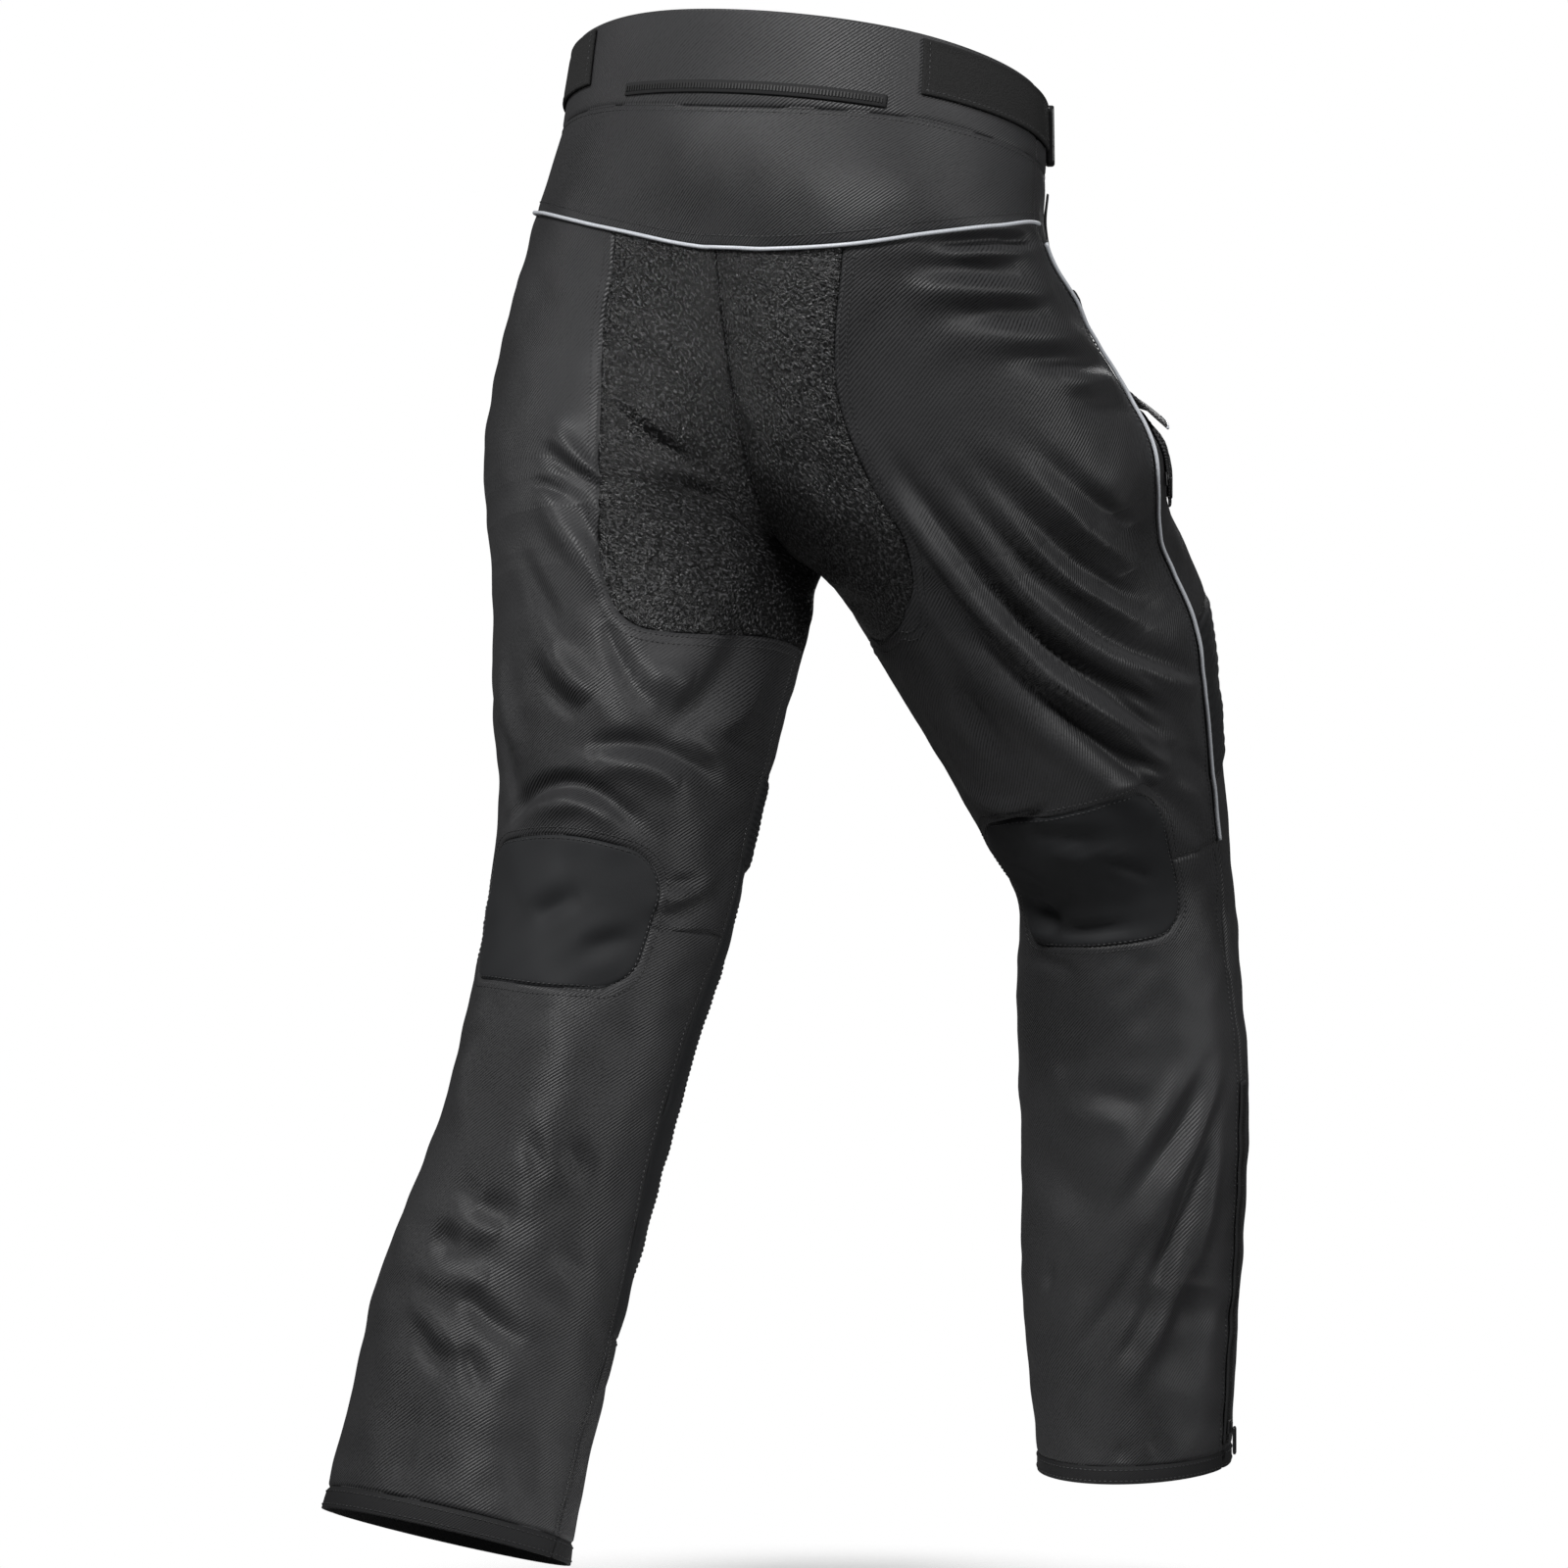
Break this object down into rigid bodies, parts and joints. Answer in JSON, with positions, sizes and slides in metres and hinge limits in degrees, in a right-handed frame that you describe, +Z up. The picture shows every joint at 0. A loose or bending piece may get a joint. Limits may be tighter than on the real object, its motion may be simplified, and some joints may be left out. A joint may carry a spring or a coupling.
{
  "type": "motorcycle trousers",
  "caption": "Hollow riding trousers in a stride, with leather seat, ribbed stretch panels, knee patches, piping and leg zips.",
  "frame": {"origin": "middle of the waist opening, level with the middle of its edge", "axes": "+Z up, +X towards the wearer's left, +Y towards the back"},
  "size_m": [0.48, 0.6708, 1.0585],
  "materials": {
    "twill": "matte woven",
    "stretch": "matte knit",
    "seat_leather": "grained, glossy",
    "hook_tape": "brushed loops",
    "piping": "smooth, reflective",
    "zip_tape": "woven tape with teeth",
    "hard_black": "satin"
  },
  "bodies": {
    "root": {"waistband_back": "twill", "yoke_back": "twill", "waistband_front_left": "twill", "seat_left": "seat_leather", "thigh_back_left": "twill", "knee_patch_left": "stretch", "calf_left": "twill", "thigh_front_left": "twill", "ribbed_panel_left": "stretch", "shin_left": "twill", "inner_strip_left": "stretch", "hem_band_left": "twill", "waistband_front_right": "twill", "seat_right": "seat_leather", "thigh_back_right": "twill", "knee_patch_right": "stretch", "calf_right": "twill", "thigh_front_right": "twill", "ribbed_panel_right": "stretch", "shin_right": "twill", "inner_strip_right": "stretch", "hem_band_right": "twill", "yoke_piping": "piping", "side_piping_left": "piping", "side_piping_right": "piping", "connection_zip": "zip_tape", "adjuster_strap_left": "hook_tape", "adjuster_strap_right": "hook_tape", "strap_loop_left": "hard_black", "strap_loop_right": "hard_black", "fly_flap": "twill", "waist_tab": "twill", "waist_snap": "hard_black", "pocket_welt_left": "twill", "hip_tab_left": "hook_tape", "thigh_pocket_left": "twill", "pocket_flap_left": "twill", "pocket_welt_right": "twill", "hip_tab_right": "hook_tape", "thigh_pocket_right": "twill", "pocket_flap_right": "twill", "leg_zip_left": "zip_tape", "leg_zip_slider_left": "hard_black", "pocket_zip_slider_left": "hard_black", "leg_zip_right": "zip_tape", "leg_zip_slider_right": "hard_black", "pocket_zip_slider_right": "hard_black"},
    "leg_zip_pull_left": {"leg_zip_pull_left": "hard_black"},
    "pocket_zip_pull_left": {"pocket_zip_pull_left": "hard_black"},
    "leg_zip_pull_right": {"leg_zip_pull_right": "hard_black"},
    "pocket_zip_pull_right": {"pocket_zip_pull_right": "hard_black"}
  },
  "joints": [
    {"name": "leg_zip_pull_swing_left", "type": "hinge", "parent": "root", "child": "leg_zip_pull_left", "pos_m": [0.23918, 0.25008, -0.95425], "axis": [-0.0425, -0.9991, 0], "range_deg": [0, 150]},
    {"name": "pocket_zip_pull_swing_left", "type": "hinge", "parent": "root", "child": "pocket_zip_pull_left", "pos_m": [0.21416, 0.01051, -0.31522], "axis": [-0.2031, -0.9792, 0], "range_deg": [0, 150]},
    {"name": "leg_zip_pull_swing_right", "type": "hinge", "parent": "root", "child": "leg_zip_pull_right", "pos_m": [-0.22918, -0.25258, -0.96536], "axis": [-0.0032, 1, 0], "range_deg": [0, 150]},
    {"name": "pocket_zip_pull_swing_right", "type": "hinge", "parent": "root", "child": "pocket_zip_pull_right", "pos_m": [-0.2237, -0.13121, -0.27901], "axis": [-0.264, 0.9645, 0], "range_deg": [0, 150]}
  ]
}
